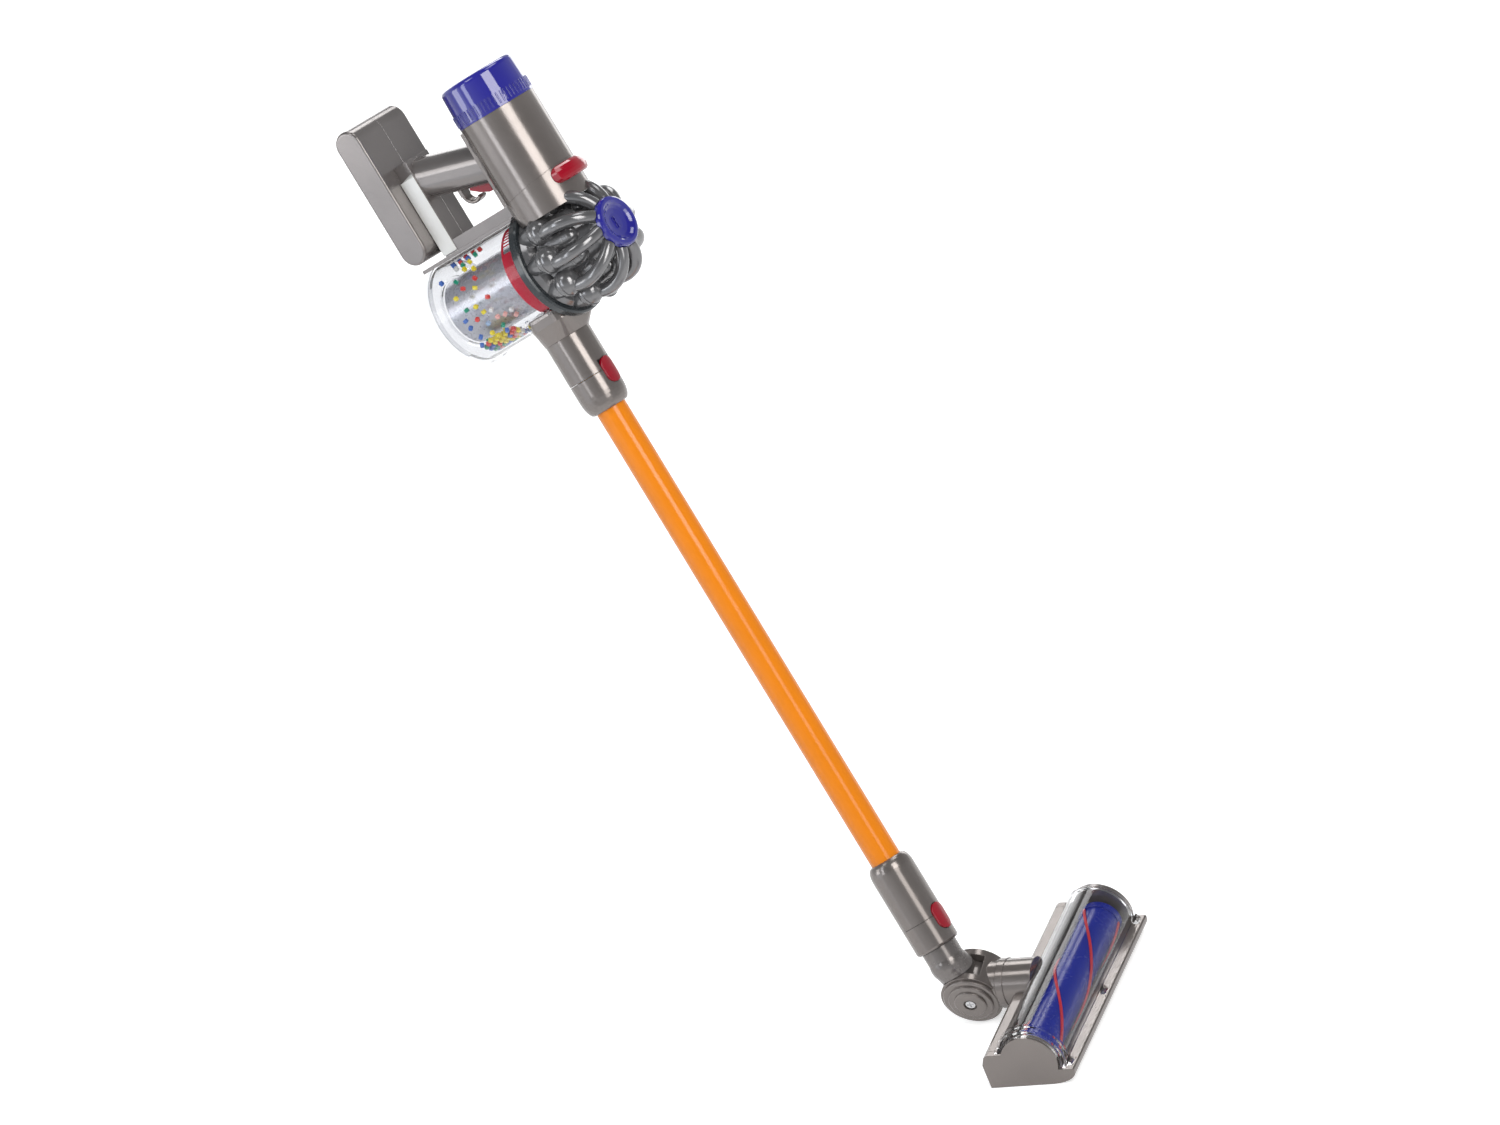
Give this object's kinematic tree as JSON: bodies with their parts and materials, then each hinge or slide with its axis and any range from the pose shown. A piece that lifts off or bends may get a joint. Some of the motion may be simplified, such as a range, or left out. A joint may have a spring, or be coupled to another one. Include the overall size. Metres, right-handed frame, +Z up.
{
  "type": "toy cordless stick vacuum cleaner",
  "caption": "Toy cordless stick vacuum with a clear bead bin, cyclone pack, trigger handle, battery box, pull-off wand and a swivelling roller floor head.",
  "frame": {"origin": "middle of the hand grip", "axes": "+Z up from the floor, floor head flat with its front edge towards -Y and its width along X; the wand leans back from the head"},
  "size_m": [0.3134, 0.4218, 0.634],
  "materials": {
    "warm_grey": "glossy metallic paint effect moulded plastic, nickel grey",
    "warm_grey_light": "glossy metallic plastic, lighter nickel grey",
    "warm_grey_dark": "satin metallic plastic, darker nickel grey",
    "slate": "glossy dark blue-grey plastic",
    "slate_dark": "glossy dark blue-grey plastic",
    "violet": "glossy violet-blue plastic",
    "roller_violet": "soft violet roller",
    "crimson": "glossy crimson plastic",
    "crimson_strip": "short crimson pile strips",
    "orange": "glossy metallic orange plastic",
    "clear": "clear moulded plastic",
    "core_grey": "satin grey plastic",
    "inner_grey": "plain inner moulding",
    "inner_black": "black plastic",
    "fan_grey": "pale grey plastic",
    "beads": "small cubes in several bright colours",
    "board": "green circuit board",
    "motor_steel": "drawn steel motor can",
    "steel": "bright zinc-plated steel",
    "cell": "printed metal cell jacket, bare of lettering"
  },
  "bodies": {
    "handheld": {"filter_cap": "violet", "barrel_upper": "warm_grey", "barrel_lower": "warm_grey", "latch_spring": "steel", "cyclone_pack": "slate", "cyclone_cap": "violet", "cyclone_flange": "slate_dark", "shroud_band": "crimson", "bin_shell": "clear", "bin_base": "clear", "bin_core": "core_grey", "motor_mount": "inner_grey", "drive_motor": "motor_steel", "beads": "beads", "inlet_duct": "warm_grey", "nozzle": "warm_grey", "bin_rail": "warm_grey_light", "handle_left": "warm_grey_light", "handle_right": "warm_grey_light", "handle_screws": "steel", "trigger_pin": "steel", "trigger_spring": "steel", "trigger_guard": "warm_grey", "switch_block": "inner_black", "circuit_board": "board", "speaker": "inner_black", "battery_case_left": "warm_grey_light", "battery_case_right": "warm_grey_light", "battery_door": "warm_grey", "battery_screw": "steel", "battery_cells": "cell", "contact_plates": "steel"},
    "latch": {"bin_latch": "crimson"},
    "trigger_lever": {"trigger": "crimson"},
    "fan": {"bead_fan": "fan_grey"},
    "wand": {"upper_collar": "warm_grey", "wand_tube": "orange", "lower_collar": "warm_grey", "upper_button_spring": "steel"},
    "upper_release": {"upper_button": "crimson"},
    "socket": {"neck_socket": "warm_grey", "lower_button_spring": "steel"},
    "lower_release": {"lower_button": "crimson"},
    "elbow": {"neck_elbow": "warm_grey_dark"},
    "knuckle": {"knuckle_housing": "warm_grey", "pivot_pin": "steel", "knuckle_caps": "warm_grey", "knuckle_screws": "steel"},
    "head": {"neck_tube": "warm_grey", "head_base": "warm_grey", "end_plate_left": "warm_grey", "end_plate_right": "warm_grey", "clear_cover": "clear", "cover_clips": "clear", "roller_pins": "steel", "base_screws": "steel"},
    "roller": {"brush_roller": "roller_violet", "bristle_strips": "crimson_strip"},
    "wheels": {"rear_wheels": "inner_black"}
  },
  "joints": [
    {"name": "latch_slide", "type": "slide", "parent": "handheld", "child": "latch", "axis": [-0.3101, -0.4017, -0.8617], "range_m": [0, 0.0025], "stiffness_N_per_m": 600, "springref_m": -0.002, "deforming": ["latch_spring"]},
    {"name": "trigger_pull", "type": "hinge", "parent": "handheld", "child": "trigger_lever", "pos_m": [-0.00621, -0.0323, 0.0004], "axis": [0.949, -0.1856, -0.255], "range_deg": [0, 8], "stiffness_Nm_per_rad": 0.35, "springref_deg": -8.59, "deforming": ["trigger_spring"]},
    {"name": "fan_spin", "type": "hinge", "parent": "handheld", "child": "fan", "pos_m": [-0.0262, -0.03395, -0.07281], "axis": [0.0575, 0.8968, -0.4388], "continuous": true},
    {"name": "wand_pull", "type": "slide", "parent": "handheld", "child": "wand", "axis": [-0.3101, -0.4017, -0.8617], "range_m": [0, 0.022]},
    {"name": "upper_press", "type": "slide", "parent": "wand", "child": "upper_release", "axis": [0.0575, 0.8968, -0.4388], "range_m": [0, 0.001], "stiffness_N_per_m": 900, "springref_m": -0.001, "deforming": ["upper_button_spring"]},
    {"name": "socket_pull", "type": "slide", "parent": "wand", "child": "socket", "axis": [-0.3101, -0.4017, -0.8617], "range_m": [0, 0.018]},
    {"name": "lower_press", "type": "slide", "parent": "socket", "child": "lower_release", "axis": [0.0575, 0.8968, -0.4388], "range_m": [0, 0.001], "stiffness_N_per_m": 900, "springref_m": -0.001, "deforming": ["lower_button_spring"]},
    {"name": "neck_twist", "type": "hinge", "parent": "socket", "child": "elbow", "pos_m": [-0.16372, -0.22692, -0.44422], "axis": [0.3101, 0.4017, 0.8617], "range_deg": [-90, 90]},
    {"name": "neck_pitch", "type": "hinge", "parent": "elbow", "child": "knuckle", "pos_m": [-0.18322, -0.26958, -0.53277], "axis": [0.9767, 0, 0.2147], "range_deg": [-26, 60]},
    {"name": "head_roll", "type": "hinge", "parent": "knuckle", "child": "head", "pos_m": [-0.18322, -0.29928, -0.53277], "axis": [0, 1, 0], "range_deg": [-42, 18]},
    {"name": "roller_spin", "type": "hinge", "parent": "head", "child": "roller", "pos_m": [-0.18322, -0.33148, -0.54066], "axis": [1, 0, 0], "continuous": true},
    {"name": "wheel_spin", "type": "hinge", "parent": "head", "child": "wheels", "pos_m": [-0.18322, -0.30468, -0.55131], "axis": [1, 0, 0], "continuous": true}
  ]
}
